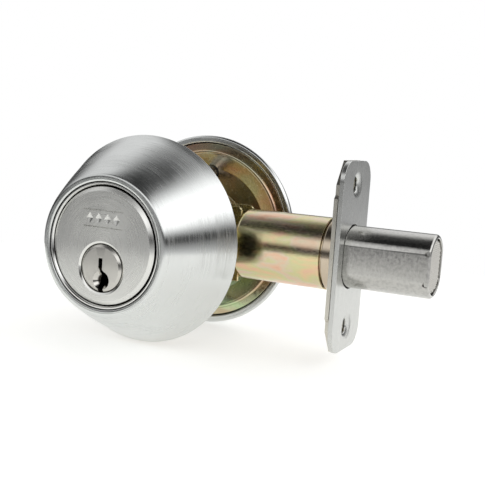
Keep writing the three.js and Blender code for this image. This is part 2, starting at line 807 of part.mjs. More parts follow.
function makeRose() {
  const rim = roseRadius - roseRim;
  const innerFront = roseFront - roseWall;
  const shell = turned([
    [rim, inside],
    [roseRadius - 0.4, inside],
    [roseRadius, inside + 0.5],
    [roseRadius - 0.4, inside + 3],
    [roseRadius - 3.6, roseFront - 2.4],
    [roseRadius - 4.8, roseFront - 0.7],
    [roseRadius - 7, roseFront],
    [0, roseFront],
    [0, innerFront],
    [rim - 5.5, innerFront],
    [rim - 3.4, roseFront - 3.6],
    [rim - 0.2, inside + 3],
    [rim, inside],
  ], 'y', largeFacets);
  const hubHole = rod(turnHubRadius + turnGap, innerFront - 1, roseFront + 1, 'y', shaftFacets)
    .translate(0, 0, -spindleDrop);
  const screwHeight = inside + 2.2;
  const screwHole = rod(1.5 + seatGap, -roseRadius - 1, -rim + 2, 'z', pinFacets);
  screwHole.translate(0, screwHeight, 0);
  place(lock, 'interior_rose', cut(shell, hubHole, screwHole), satinChrome);
  const screw = rod(1.5, -roseRadius + 0.4, -rim + 0.2, 'z', pinFacets);
  place(lock, 'rose_screw', screw, zincSteel, 0, screwHeight, 0);

  const t = mountThickness;
  const flange = inside + beadHeight;
  const floor = inside + dishDepth;
  const dish = ring([
    [mountFlangeRadius, flange],
    [mountBead + beadHalf, flange],
    [mountBead + 0.35, inside + 0.1],
    [mountBead - 0.35, inside + 0.1],
    [mountBead - beadHalf, flange],
    [dishRadius, floor],
    [mountOpening, floor],
    [mountOpening, floor + t],
    [dishRadius - 0.3, floor + t],
    [mountBead - beadHalf, flange + t],
    [mountFlangeRadius, flange + t],
  ], 'y', largeFacets);
  const boltHoles = [-1, 1].map((side) => rod(
    throughBoltRadius + seatGap,
    inside,
    floor + t + 1,
    'y',
  ).translate(0, 0, side * throughBoltOffset));
  place(lock, 'mounting_plate', cut(dish, ...boltHoles), dichromate);

  const headSeat = floor + t + seatGap;
  const bolt = turned([
    [0, anchorFront + 0.5],
    [throughBoltRadius - 0.5, anchorFront + 0.5],
    [throughBoltRadius, anchorFront + 1],
    [throughBoltRadius, headSeat],
    [throughBoltRadius + 1.7, headSeat],
    [throughBoltRadius + 1.5, headSeat + 1.8],
    [throughBoltRadius, headSeat + 2.6],
    [0, headSeat + 2.6],
  ], 'y', screwFacets);
  const slit = block([-0.6, 0.6], [headSeat + 1.5, headSeat + 4], [-6, 6]);
  const slotted = cut(bolt, slit);
  place(lock, 'through_bolt_top', slotted, zincSteel, 0, 0, throughBoltOffset);
  place(lock, 'through_bolt_bottom', slotted, zincSteel, 0, 0, -throughBoltOffset);
}

// ---------- Assembly ----------

const ringBack = makeCollar();
makeCylinderBody(ringBack + seatGap);
makePlug();
makePins();
makeAnchor();
makeTube();
makePlates();
makeCase();
const crankPinAt = makeCrank();
makeBolt(crankPinAt);
makeTurn();
makeRose();

export default lock;
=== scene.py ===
"""A single-cylinder deadbolt door lock: what each piece looks like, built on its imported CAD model."""

import json
import math

import bmesh
import bpy
import numpy as np
from mathutils import Matrix, Vector


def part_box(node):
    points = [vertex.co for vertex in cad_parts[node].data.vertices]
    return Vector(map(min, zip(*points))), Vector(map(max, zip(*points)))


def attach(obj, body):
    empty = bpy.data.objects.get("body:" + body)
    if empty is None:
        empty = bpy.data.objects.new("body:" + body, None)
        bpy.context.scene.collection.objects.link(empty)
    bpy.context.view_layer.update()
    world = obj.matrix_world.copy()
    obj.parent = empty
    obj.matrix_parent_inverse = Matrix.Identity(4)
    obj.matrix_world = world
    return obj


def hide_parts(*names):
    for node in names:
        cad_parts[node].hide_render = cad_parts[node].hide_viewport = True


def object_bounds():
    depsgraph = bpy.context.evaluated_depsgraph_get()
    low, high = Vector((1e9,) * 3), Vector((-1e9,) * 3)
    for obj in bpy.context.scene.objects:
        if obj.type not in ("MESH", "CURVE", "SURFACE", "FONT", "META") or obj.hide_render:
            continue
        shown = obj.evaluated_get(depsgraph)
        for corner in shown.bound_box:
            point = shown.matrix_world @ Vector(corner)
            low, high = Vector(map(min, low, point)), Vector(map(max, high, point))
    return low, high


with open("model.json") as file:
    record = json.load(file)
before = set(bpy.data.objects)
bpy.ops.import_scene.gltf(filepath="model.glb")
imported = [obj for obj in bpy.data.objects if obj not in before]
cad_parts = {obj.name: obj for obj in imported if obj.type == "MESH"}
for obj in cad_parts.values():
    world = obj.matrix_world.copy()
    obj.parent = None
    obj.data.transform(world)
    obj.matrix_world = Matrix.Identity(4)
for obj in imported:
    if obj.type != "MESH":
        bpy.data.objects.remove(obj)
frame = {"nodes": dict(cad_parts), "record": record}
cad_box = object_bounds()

MM = 0.001


# ---------------------------------------------------------------- collar
# The tapered guard round the cylinder: a zinc casting, turned, brushed round its axis and
# satin chromed. Its front edge is rounded over to a flat lip with one fine turned groove.

def linear(code):
    """The linear colour of an sRGB hex code, with alpha 1."""
    parts = [int(code[i:i + 2], 16) / 255 for i in (1, 3, 5)]
    return tuple(c / 12.92 if c <= 0.04045 else ((c + 0.055) / 1.055) ** 2.4 for c in parts) + (1,)


def add(tree, kind, inputs=None, **settings):
    """Adds a node with its settings; each input is a value or another node's output."""
    new = tree.nodes.new(kind)
    for name, value in settings.items():
        setattr(new, name, value)
    for name, value in (inputs or {}).items():
        if isinstance(value, bpy.types.NodeSocket):
            tree.links.new(value, new.inputs[name])
        else:
            new.inputs[name].default_value = value
    return new


def blend(tree, share, first, second):
    """The colour that goes from the first to the second as the share goes from 0 to 1."""
    mix = add(tree, "ShaderNodeMix", {"Factor": share, 6: first, 7: second}, data_type="RGBA")
    return mix.outputs[2]


def rounded(corners, steps=5):
    """A closed outline in mm whose corners (a, b, radius) are rounded with arcs."""
    points = []
    for i, corner in enumerate(corners):
        here = Vector(corner[:2])
        radius = corner[2] if len(corner) > 2 else 0
        if not radius:
            points.append(here)
            continue
        before = (Vector(corners[i - 1][:2]) - here).normalized()
        after = (Vector(corners[(i + 1) % len(corners)][:2]) - here).normalized()
        half = before.angle(after) / 2
        centre = here + (before + after).normalized() * (radius / math.sin(half))
        start = here + before * (radius / math.tan(half)) - centre
        end = here + after * (radius / math.tan(half)) - centre
        turn = start.angle_signed(end)
        for k in range(steps + 1):
            angle = -turn * k / steps
            spun = Vector((
                start.x * math.cos(angle) - start.y * math.sin(angle),
                start.x * math.sin(angle) + start.y * math.cos(angle),
            ))
            points.append(centre + spun)
    return points


def new_piece(name, mesh):
    """An object at the origin for a mesh in mm."""
    mesh.update()
    piece = bpy.data.objects.new(name, mesh)
    bpy.context.scene.collection.objects.link(piece)
    return piece


def shape_with(piece, kind, **settings):
    """Puts one modifier on a piece and makes its result the piece's mesh."""
    step = piece.modifiers.new("step", kind)
    for name, value in settings.items():
        setattr(step, name, value)
    depsgraph = bpy.context.evaluated_depsgraph_get()
    shaped = bpy.data.meshes.new_from_object(piece.evaluated_get(depsgraph))
    piece.modifiers.clear()
    old = piece.data
    piece.data = shaped
    bpy.data.meshes.remove(old)
    shaped.name = piece.name


def turned(name, profile, axis="Y", centre=(0, 0), segments=160):
    """A closed profile of (radius, distance along the axis) in mm, turned about X, Y or Z.

    centre is the axis's place, in mm, in the two directions across it.
    """
    bm = bmesh.new()

    def point(radius, along, angle):
        c, s = radius * math.cos(angle), radius * math.sin(angle)
        if axis == "X":
            place = (along, c + centre[0], s + centre[1])
        elif axis == "Y":
            place = (s + centre[0], along, c + centre[1])
        else:
            place = (c + centre[0], s + centre[1], along)
        return Vector(place)

    rings = []
    for radius, along in profile:
        if radius < 1e-6:
            rings.append([bm.verts.new(point(0, along, 0))] * segments)
        else:
            rings.append([
                bm.verts.new(point(radius, along, 2 * math.pi * k / segments))
                for k in range(segments)
            ])
    for i in range(len(profile)):
        j = (i + 1) % len(profile)
        for k in range(segments):
            n = (k + 1) % segments
            corners = dict.fromkeys((rings[i][k], rings[i][n], rings[j][n], rings[j][k]))
            if len(corners) > 2:
                bm.faces.new(list(corners))
    bmesh.ops.recalc_face_normals(bm, faces=bm.faces)
    mesh = bpy.data.meshes.new(name)
    bm.to_mesh(mesh)
    bm.free()
    return new_piece(name, mesh)


def give(piece, material, body, slot, *nodes, sharp=30):
    """Finishes a piece: its shading, material and body, and it hides the nodes that it replaces. slot is
    not used.

    Curves shade smooth, edges sharper than an angle stay crisp, and flats stay flat. Pieces
    are built in mm, and become metres here.
    """
    piece.data.transform(Matrix.Scale(MM, 4))
    piece.data.shade_smooth()
    piece.data.set_sharp_from_angle(angle=math.radians(sharp))
    shape_with(piece, "WEIGHTED_NORMAL", keep_sharp=True, weight=80)
    piece.data.materials.clear()
    piece.data.materials.append(material)
    for polygon in piece.data.polygons:
        polygon.material_index = 0
    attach(piece, body)
    if nodes:
        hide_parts(*nodes)


def turned_metal(
    name, colour, roughness, lines=0.3, centre=(0, 0), grain=0.25, stretch=0.7,
    polished=None, shade_from=1000.0,
):
    """Metal finished round an axis along Y: hairlines that run round it fan the light out.

    lines is how far apart the hairlines are and centre is the axis's (x, z), both in mm.
    polished is the (x, z, radius) of a round part of the surface that is polished instead.
    Deeper in along Y than the last argument gives, in mm, the colour is painted near black: painted shade
    standing in for the shadow inside the bores and gaps.
    """
    material = bpy.data.materials.new(name)
    material.use_nodes = True
    tree = material.node_tree
    tree.nodes.clear()
    place = add(tree, "ShaderNodeTexCoord")
    split = add(tree, "ShaderNodeSeparateXYZ", {0: place.outputs["Object"]})
    from_x = add(tree, "ShaderNodeMath", {0: split.outputs["X"], 1: centre[0] * MM}, operation="SUBTRACT")
    from_z = add(tree, "ShaderNodeMath", {0: split.outputs["Z"], 1: centre[1] * MM}, operation="SUBTRACT")
    flat = add(tree, "ShaderNodeCombineXYZ", {0: from_x.outputs[0], 1: from_z.outputs[0]})
    radius = add(tree, "ShaderNodeVectorMath", {0: flat.outputs[0]}, operation="LENGTH")
    count = 1 / (lines * MM)
    step_r = add(tree, "ShaderNodeMath", {0: radius.outputs["Value"], 1: count}, operation="MULTIPLY")
    step_y = add(tree, "ShaderNodeMath", {0: split.outputs["Y"], 1: count}, operation="MULTIPLY")
    drift = add(tree, "ShaderNodeMath", {0: split.outputs["X"], 1: 90.0}, operation="MULTIPLY")
    hair = add(tree, "ShaderNodeCombineXYZ", {
        0: step_r.outputs[0], 1: step_y.outputs[0], 2: drift.outputs[0],
    })
    lines_noise = add(tree, "ShaderNodeTexNoise", {"Vector": hair.outputs[0], "Scale": 1.0, "Detail": 3.0})
    cloud = add(tree, "ShaderNodeTexNoise", {
        "Vector": place.outputs["Object"], "Scale": 90.0, "Detail": 2.0,
    })
    mix = add(
        tree, "ShaderNodeMath", {0: lines_noise.outputs["Fac"], 1: cloud.outputs["Fac"]},
        operation="MULTIPLY",
    )
    rough = add(tree, "ShaderNodeMapRange", {
        "Value": mix.outputs[0], "From Min": 0.15, "From Max": 0.4,
        "To Min": roughness * (1 - grain), "To Max": roughness * (1 + grain),
    })
    bump = add(tree, "ShaderNodeBump", {
        "Height": lines_noise.outputs["Fac"], "Strength": grain * 0.35, "Distance": 0.02 * MM,
    })
    minus_x = add(tree, "ShaderNodeMath", {0: from_x.outputs[0], 1: -1.0}, operation="MULTIPLY")
    around = add(tree, "ShaderNodeCombineXYZ", {0: from_z.outputs[0], 2: minus_x.outputs[0]})
    tangent = add(
        tree, "ShaderNodeVectorTransform", {0: around.outputs[0]},
        vector_type="VECTOR", convert_from="OBJECT", convert_to="WORLD",
    )
    tangent = add(tree, "ShaderNodeVectorMath", {0: tangent.outputs[0]}, operation="NORMALIZE")
    if polished:
        x, z, reach = polished
        from_x = add(tree, "ShaderNodeMath", {0: split.outputs["X"], 1: x * MM}, operation="SUBTRACT")
        from_z = add(tree, "ShaderNodeMath", {0: split.outputs["Z"], 1: z * MM}, operation="SUBTRACT")
        away = add(tree, "ShaderNodeCombineXYZ", {0: from_x.outputs[0], 1: from_z.outputs[0]})
        away = add(tree, "ShaderNodeVectorMath", {0: away.outputs[0]}, operation="LENGTH")
        outside = add(tree, "ShaderNodeMapRange", {
            "Value": away.outputs["Value"], "From Min": (reach - 0.05) * MM, "From Max": reach * MM,
            "To Min": 0.25, "To Max": 1.0,
        })
        rough = add(
            tree, "ShaderNodeMath", {0: rough.outputs[0], 1: outside.outputs[0]}, operation="MULTIPLY",
        )
    fade = 0.15
    depth = add(tree, "ShaderNodeMapRange", {
        "Value": split.outputs["Y"],
        "From Min": (shade_from - fade) * MM, "From Max": (shade_from + fade) * MM,
    })
    # Painted shade: the near-black colour that the surface takes deep inside, in place of the shadow that
    # falls there.
    painted_shade = linear("#2B2824")
    shader = add(tree, "ShaderNodeBsdfPrincipled", {
        "Base Color": blend(tree, depth.outputs[0], linear(colour), painted_shade),
        "Metallic": 1.0, "Roughness": rough.outputs[0],
        "Anisotropic": stretch, "Anisotropic Rotation": 0.25,
        "Normal": bump.outputs[0], "Tangent": tangent.outputs[0],
    })
    add(tree, "ShaderNodeOutputMaterial", {"Surface": shader.outputs[0]})
    return material


# Satin chrome: a hard blue-white plate over brushed zinc, so it gleams softly in streaks.
satin_chrome = turned_metal("satin chrome, brushed round", "#D7D9D7", 0.24, grain=0.45, stretch=0.75)

low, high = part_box("collar")
front, back = low[1] / MM, high[1] / MM
back_radius = high[2] / MM
lip_bore, lip_radius, lip_depth = 18.5, 20.5, 1.8
groove_inside, groove_outside, groove_depth = 19.0, 19.45, 0.22
wall, crown = 2.0, 0.35
slope = (back_radius - lip_radius) / (back - front)
lip_back = front + lip_depth
cone = []
for k in range(1, 12):
    share = k / 12
    bulge = crown * (1 - (2 * share - 1) ** 2)
    cone.append((lip_radius + slope * share * (back - front) + bulge, front + share * (back - front), 0))
inside_front = lip_radius + slope * (lip_back - front) - wall
collar = turned("tapered_collar", rounded([
    (lip_bore, front + 0.1, 0.25),
    (groove_inside, front, 0),
    (groove_inside + 0.1, front + groove_depth, 0),
    (groove_outside - 0.1, front + groove_depth, 0),
    (groove_outside, front, 0),
    (lip_radius - 0.1, front, 1.1),
    *cone,
    (back_radius, back - 0.5, 0.2),
    (back_radius - 0.5, back, 0.3),
    (back_radius - wall, back, 0.15),
    (inside_front, lip_back, 0.3),
    (lip_bore, lip_back, 0.15),
]), segments=256)
give(collar, satin_chrome, "collar", "satin_chrome", "collar")


# ---------------------------------------------------------------- hardened ring
# A hardened steel ring set inside the collar's lip, so the collar can't be cut away. It is
# ground and chromed, and its inner edge is chamfered where it faces the cylinder.

low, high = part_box("collar_ring")
ring_bore, ring_outer = 17.4, 18.2
ring_flange = high[2] / MM
flange_front = lip_back + 0.3
# From 0.9 mm behind its front, the ring's colour is painted near black: painted shade where it lies inside
# the collar.
ring_steel = turned_metal(
    "ground steel, chromed", "#DCDCD9", 0.15, lines=0.2, grain=0.15, shade_from=low[1] / MM + 0.9,
)
collar_ring = turned("hardened_ring", rounded([
    (ring_bore, low[1] / MM + 0.45, 0.1),
    (ring_bore + 0.4, low[1] / MM, 0.15),
    (ring_outer, low[1] / MM, 0.1),
    (ring_outer, flange_front, 0),
    (ring_flange, flange_front, 0.1),
    (ring_flange, high[1] / MM, 0.1),
    (ring_bore, high[1] / MM, 0.1),
]), segments=256)
give(collar_ring, ring_steel, "collar", "hardened_steel", "collar_ring")


# ---------------------------------------------------------------- cylinder body
# A brass casting, machined and satin nickel plated: a face disc with a bevelled edge, the
# barrel that holds the plug, the housing for the pins above it and two ears for screws. Four
# plain lozenges are punched into the face between two engraved rules.

def box_piece(name, x, y, z, bevel=0.0):
    """A block between two corners in mm, with its edges rounded."""
    bm = bmesh.new()
    bmesh.ops.create_cube(bm, size=1)
    size = Vector((x[1] - x[0], y[1] - y[0], z[1] - z[0]))
    middle = Vector((x[0] + x[1], y[0] + y[1], z[0] + z[1])) / 2
    place = Matrix.Translation(middle) @ Matrix.Diagonal((*size, 1))
    bmesh.ops.transform(bm, matrix=place, verts=bm.verts)
    if bevel:
        bmesh.ops.bevel(bm, geom=bm.edges[:], offset=bevel, segments=3, profile=0.5, affect="EDGES")
    mesh = bpy.data.meshes.new(name)
    bm.to_mesh(mesh)
    bm.free()
    return new_piece(name, mesh)


def prism(name, outline, start, end, axis="Y"):
    """An outline in mm, in (x, z) along Y or in (y, z) along X, made into a solid."""
    bm = bmesh.new()
    ends = []
    for along in (start, end):
        if axis == "Y":
            ends.append([bm.verts.new((p[0], along, p[1])) for p in outline])
        else:
            ends.append([bm.verts.new((along, p[0], p[1])) for p in outline])
    count = len(outline)
    bm.faces.new(ends[0])
    bm.faces.new(ends[1][::-1])
    for k in range(count):
        n = (k + 1) % count
        bm.faces.new((ends[0][n], ends[0][k], ends[1][k], ends[1][n]))
    bmesh.ops.recalc_face_normals(bm, faces=bm.faces)
    mesh = bpy.data.meshes.new(name)
    bm.to_mesh(mesh)
    bm.free()
    return new_piece(name, mesh)


def carve(piece, operation, *tools):
    """Joins tools to a piece or cuts them from it, one after the other, and removes them."""
    for tool in tools:
        shape_with(piece, "BOOLEAN", operation=operation, solver="MANIFOLD", object=tool)
        bpy.data.objects.remove(tool)
    return piece


def rod(radius, start, end, axis="Y", centre=(0, 0), segments=64):
    """A round bar in mm, to join to a piece or to bore a hole with."""
    return turned("tool", [(0, start), (radius, start), (radius, end), (0, end)], axis, centre, segments)


def pointed(corners):
    """A pyramid cutter in mm: its point first, and then its base's corners in order."""
    bm = bmesh.new()
    tip, *base = [bm.verts.new(corner) for corner in corners]
    bm.faces.new(base)
    for k, corner in enumerate(base):
        bm.faces.new((tip, corner, base[(k + 1) % len(base)]))
    bmesh.ops.recalc_face_normals(bm, faces=bm.faces)
    mesh = bpy.data.meshes.new("tool")
    bm.to_mesh(mesh)
    bm.free()
    return new_piece("tool", mesh)


low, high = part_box("cylinder_body")
face, body_back = low[1] / MM, high[1] / MM
tailpiece_low, tailpiece_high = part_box("tailpiece")
plug_axis = (tailpiece_low[2] + tailpiece_high[2]) / 2 / MM
face_radius, shoulder_radius = 16.95, high[0] / MM
shoulder_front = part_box("collar_ring")[1][1] / MM + 0.3
shoulder_back = shoulder_front + 2.2
barrel_radius, bore_radius = 9.2, 6.5
nose_bore, nose_back, chamfer_radius = 7.05, face + 1.65, 7.75
ear_x, ear_z, ear_radius, ear_half = 12.5, plug_axis + 4.25, 3.3, 2.2
ear_screw_radius, ear_screw_depth = 2.1, 11
housing_half, chamber_radius = 4, 1.6
clearance, past = 0.3, 1
pins = range(1, 6)
cap_low, cap_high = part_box("chamber_cap")
housing_top = cap_high[2] / MM + 0.8

cylinder_body = turned("cylinder_and_face", rounded([
    (0, face),
    (face_radius - 1.15, face, 0.2),
    (face_radius, face + 0.75, 0.1),
    (face_radius, shoulder_front, 0),
    (shoulder_radius, shoulder_front, 0.1),
    (shoulder_radius, shoulder_back, 0.1),
    (0, shoulder_back),
]), segments=256)
start = shoulder_back - 0.5
carve(
    cylinder_body, "UNION",
    rod(barrel_radius, start, body_back, centre=(0, plug_axis), segments=128),
    box_piece("tool", (-housing_half, housing_half), (start, body_back), (plug_axis, housing_top), 0.6),
    box_piece("tool", (-ear_x, ear_x), (start, body_back - 0.01), (ear_z - ear_half, ear_z + ear_half)),
    rod(ear_radius, start, body_back - 0.02, centre=(-ear_x, ear_z)),
    rod(ear_radius, start, body_back - 0.02, centre=(ear_x, ear_z)),
)
chambers = []
for i in pins:
    pin_low, pin_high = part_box(f"key_pin_{i}")
    middle = ((pin_low[0] + pin_high[0]) / 2 / MM, (pin_low[1] + pin_high[1]) / 2 / MM)
    chambers.append(rod(chamber_radius, plug_axis, cap_low[2] / MM, "Z", middle, 32))
carve(
    cylinder_body, "DIFFERENCE",
    rod(bore_radius, face - past, body_back + past, centre=(0, plug_axis), segments=128),
    turned("tool", rounded([
        (0, face - past), (chamfer_radius, face - past), (chamfer_radius, face),
        (nose_bore, face + 0.3, 0.3), (nose_bore, nose_back), (0, nose_back),
    ]), centre=(0, plug_axis), segments=192),
    box_piece(
        "tool",
        (cap_low[0] / MM - clearance, cap_high[0] / MM + clearance),
        (cap_low[1] / MM - clearance, body_back + past),
        (cap_low[2] / MM - clearance, housing_top + past),
    ),
    *chambers,
    rod(ear_screw_radius, body_back - ear_screw_depth, body_back + past, centre=(-ear_x, ear_z)),
    rod(ear_screw_radius, body_back - ear_screw_depth, body_back + past, centre=(ear_x, ear_z)),
)
mark_height, mark_depth = 7.75, 0.3
lozenge_long, lozenge_wide = 1.6, 1.15
rule_half, rule_width, rule_depth, rule_offset = 6.6, 0.5, 0.2, 2.4
marks = []
for x in (-4.5, -1.5, 1.5, 4.5):
    punch = [(x, face + mark_depth, mark_height)]
    for across, along in ((0, lozenge_long), (lozenge_wide, 0), (0, -lozenge_long), (-lozenge_wide, 0)):
        punch.append((x + 2 * across, face - mark_depth, mark_height + 2 * along))
    marks.append(pointed(punch))
for z in (mark_height - rule_offset, mark_height + rule_offset):
    groove = [(face - 0.3, z - rule_width), (face - 0.3, z + rule_width), (face + rule_depth, z)]
    marks.append(prism("tool", groove, -rule_half, rule_half, "X"))
carve(cylinder_body, "DIFFERENCE", *marks)
# From 0.9 mm behind the face, the body's colour is painted near black: painted shade inside its bores.
face_finish = turned_metal(
    "satin nickel, faced on a lathe", "#DCDCD8", 0.28, grain=0.2, stretch=0.8,
    polished=(0, plug_axis, chamfer_radius), shade_from=face + 0.9,
)
give(cylinder_body, face_finish, "lock_body", "nickel_silver", "cylinder_body", sharp=15)


# ---------------------------------------------------------------- plug
# The brass plug that the key turns, plated like the face. Its nose is bevelled and has a
# conical lead-in for the key, and the warded keyway runs its whole length.

low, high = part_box("plug")
nose, tail = low[1] / MM, high[1] / MM
nose_radius = high[0] / MM
plug_radius = 6.35
lead_in, lead_radius, lead_depth = (0.3, plug_axis - 3.5), 3.75, 2.6
pin_reach = 8
keyway = rounded([
    (-0.75, 2.9, 0.15), (-0.75, 0.1, 0.5), (-0.15, -0.6, 0.4), (-0.15, -2.3, 0.4),
    (-0.75, -3, 0.5), (-0.75, -9), (1, -9), (1, -3.3, 0.4),
    (1.5, -2.8, 0.3), (1.5, -1.3, 0.5), (0.55, -0.4, 0.5), (0.55, 2.9, 0.15),
])
plug = turned("key_plug", rounded([
    (0, nose),
    (nose_radius - 0.75, nose, 0.15),
    (nose_radius, nose + 0.55, 0.1),
    (nose_radius, nose + 1.7, 0),
    (plug_radius, nose + 1.7, 0),
    (plug_radius, tail, 0.2),
    (0, tail),
]), centre=(0, plug_axis), segments=192)
key_holes = []
for i in pins:
    pin_low, pin_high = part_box(f"key_pin_{i}")
    middle = ((pin_low[0] + pin_high[0]) / 2 / MM, (pin_low[1] + pin_high[1]) / 2 / MM)
    key_holes.append(rod(chamber_radius, plug_axis, plug_axis + pin_reach, "Z", middle, 32))
clip_low, clip_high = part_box("plug_clip")
clip_groove = turned("tool", [
    (plug_radius - 1, clip_low[1] / MM - 0.2), (plug_radius + 1, clip_low[1] / MM - 0.2),
    (plug_radius + 1, clip_high[1] / MM + 0.2), (plug_radius - 1, clip_high[1] / MM + 0.2),
], centre=(0, plug_axis), segments=96)
carve(
    plug, "DIFFERENCE",
    prism("tool", [(x, z + plug_axis) for x, z in keyway], nose - past, tail + past),
    turned(
        "tool", [(0, nose - past), (lead_radius, nose - past), (0, nose + lead_depth)],
        centre=lead_in, segments=64,
    ),
    box_piece(
        "tool",
        (tailpiece_low[0] / MM - clearance, tailpiece_high[0] / MM + clearance),
        (tailpiece_low[1] / MM - clearance, tail + past),
        (tailpiece_low[2] / MM - clearance, tailpiece_high[2] / MM + clearance),
    ),
    clip_groove,
    *key_holes,
)
# From 1 mm behind its nose, the plug's colour is painted near black: painted shade where it lies inside
# the body.
plug_finish = turned_metal(
    "satin nickel, plug", "#C6C4BE", 0.22, centre=(0, plug_axis), grain=0.15, stretch=0.5,
    polished=(*lead_in, 2.7), shade_from=nose + 1.0,
)
give(plug, plug_finish, "plug", "polished_nickel", "plug", sharp=20)


# ---------------------------------------------------------------- latch tube
# A rolled steel tube, bright zinc plated and yellow chromated. The chromate is a thin film,
# so it shifts between gold, olive green and rose as it goes round the tube.

def chromated(name, tints, clouds, lines, bumps, roughness=0.2, drift=(0.0, 0.0, 0.0)):
    """Yellow zinc dichromate: a tinted film that drifts from hue to hue over plated steel.

    drift is how much further along its tints the film is for each metre along X, Y and Z.
    """
    material = bpy.data.materials.new(name)
    material.use_nodes = True
    tree = material.node_tree
    tree.nodes.clear()
    place = add(tree, "ShaderNodeTexCoord")
    stretched = add(tree, "ShaderNodeMapping", {"Vector": place.outputs["Object"], "Scale": clouds})
    cloud = add(tree, "ShaderNodeTexNoise", {
        "Vector": stretched.outputs[0], "Scale": 1.0, "Detail": 3.0, "Distortion": 0.4,
    })
    along = add(
        tree, "ShaderNodeVectorMath", {0: place.outputs["Object"], 1: drift}, operation="DOT_PRODUCT",
    )
    film = add(
        tree, "ShaderNodeMath", {0: cloud.outputs["Fac"], 1: along.outputs["Value"]}, operation="ADD",
    )
    tint = add(tree, "ShaderNodeValToRGB", {"Fac": film.outputs[0]})
    ramp = tint.color_ramp
    first, last = 0.3, 0.7
    for end, at, code in ((ramp.elements[0], first, tints[0]), (ramp.elements[-1], last, tints[-1])):
        end.position = at
        end.color = linear(code)
    for k, code in enumerate(tints[1:-1], 1):
        at = first + (last - first) * k / (len(tints) - 1)
        ramp.elements.new(at).color = linear(code)
    drawn = add(tree, "ShaderNodeMapping", {"Vector": place.outputs["Object"], "Scale": lines})
    scratches = add(tree, "ShaderNodeTexNoise", {"Vector": drawn.outputs[0], "Scale": 1.0, "Detail": 3.0})
    rough = add(tree, "ShaderNodeMapRange", {
        "Value": scratches.outputs["Fac"], "From Min": 0.3, "From Max": 0.7,
        "To Min": roughness * 0.7, "To Max": roughness * 1.3,
    })
    bump = add(tree, "ShaderNodeBump", {
        "Height": scratches.outputs["Fac"], "Strength": bumps, "Distance": 0.02 * MM,
    })
    shader = add(tree, "ShaderNodeBsdfPrincipled", {
        "Base Color": tint.outputs["Color"], "Metallic": 1.0, "Roughness": rough.outputs[0],
        "Normal": bump.outputs[0],
    })
    add(tree, "ShaderNodeOutputMaterial", {"Surface": shader.outputs[0]})
    return material


tube_chromate = chromated(
    "zinc plate, yellow chromate, drawn tube",
    ("#CFA489", "#E0BBA0", "#D6C6AC", "#CFCB9C", "#DDC49C", "#E2B8A0"),
    clouds=(75.0, 170.0, 170.0), lines=(900.0, 2200.0, 2200.0), bumps=0.4,
)
low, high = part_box("latch_tube")
tube_start, tube_end = low[0] / MM, high[0] / MM
tube_radius, tube_wall, end_wall, throat = high[2] / MM, 0.6, 0.8, 9.0
latch_tube = turned("rolled_latch_tube", rounded([
    (throat, tube_start, 0.15),
    (tube_radius, tube_start, 1.3),
    (tube_radius, tube_end, 0.12),
    (tube_radius - tube_wall, tube_end, 0.12),
    (tube_radius - tube_wall, tube_start + end_wall, 0.5),
    (throat, tube_start + end_wall, 0.15),
], 8), axis="X", segments=192)
give(latch_tube, tube_chromate, "lock_body", "dichromate", "latch_tube")


# ---------------------------------------------------------------- front bush
# A turned ring, bright nickel plated, staked to the backplate. The bolt slides in it and it
# joins the plates to the tube.

def plain_metal(
    name, colour, roughness, cloud_size=8.0, cloud=0.25, grain=(600.0, 600.0, 600.0),
    bumps=0.05, patch=0.95,
):
    """Metal with faint clouds, cloud_size mm wide, in its gloss, and with a fine grain.

    grain is how many times the grain turns in a metre along X, Y and Z. patch is how bright
    the dimmest spots are, as a share of the rest.
    """
    material = bpy.data.materials.new(name)
    material.use_nodes = True
    tree = material.node_tree
    tree.nodes.clear()
    place = add(tree, "ShaderNodeTexCoord")
    clouds = add(tree, "ShaderNodeTexNoise", {
        "Vector": place.outputs["Object"], "Scale": 1 / (cloud_size * MM), "Detail": 4.0,
    })
    along = add(tree, "ShaderNodeMapping", {"Vector": place.outputs["Object"], "Scale": grain})
    fine = add(tree, "ShaderNodeTexNoise", {"Vector": along.outputs[0], "Scale": 1.0, "Detail": 3.0})
    both = add(
        tree, "ShaderNodeMath", {0: clouds.outputs["Fac"], 1: fine.outputs["Fac"]}, operation="ADD",
    )
    rough = add(tree, "ShaderNodeMapRange", {
        "Value": both.outputs[0], "From Min": 0.7, "From Max": 1.3,
        "To Min": roughness * (1 - cloud), "To Max": roughness * (1 + cloud),
    })
    bump = add(tree, "ShaderNodeBump", {
        "Height": fine.outputs["Fac"], "Strength": bumps, "Distance": 0.02 * MM,
    })
    clear = linear(colour)
    dim = tuple(part * patch for part in clear[:3]) + (1,)
    spots = add(tree, "ShaderNodeMapRange", {
        "Value": clouds.outputs["Fac"], "From Min": 0.35, "From Max": 0.55,
    })
    shader = add(tree, "ShaderNodeBsdfPrincipled", {
        "Base Color": blend(tree, spots.outputs[0], dim, clear),
        "Metallic": 1.0, "Roughness": rough.outputs[0],
        "Normal": bump.outputs[0],
    })
    add(tree, "ShaderNodeOutputMaterial", {"Surface": shader.outputs[0]})
    return material


low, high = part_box("front_bush")
bush_bore, bush_spigot = 9.6, 10.1
bush_shoulder = tube_end + 0.7
front_bush = turned("door_edge_bush", rounded([
    (bush_bore, low[0] / MM, 0.1),
    (bush_spigot, low[0] / MM, 0.1),
    (bush_spigot, bush_shoulder, 0),
    (high[2] / MM, bush_shoulder, 0.35),
    (high[2] / MM, high[0] / MM, 0.25),
    (bush_bore, high[0] / MM, 0.1),
]), axis="X", segments=192)
bush_nickel = plain_metal("bright nickel plate, bush", "#C6B8A4", 0.16)
give(front_bush, bush_nickel, "lock_body", "polished_nickel", "front_bush")


# ---------------------------------------------------------------- faceplate
# A blanked steel plate with round corners, brushed lengthways and satin chromed. Its two
# screw holes are countersunk and the bolt's opening follows the bolt's crowned section.

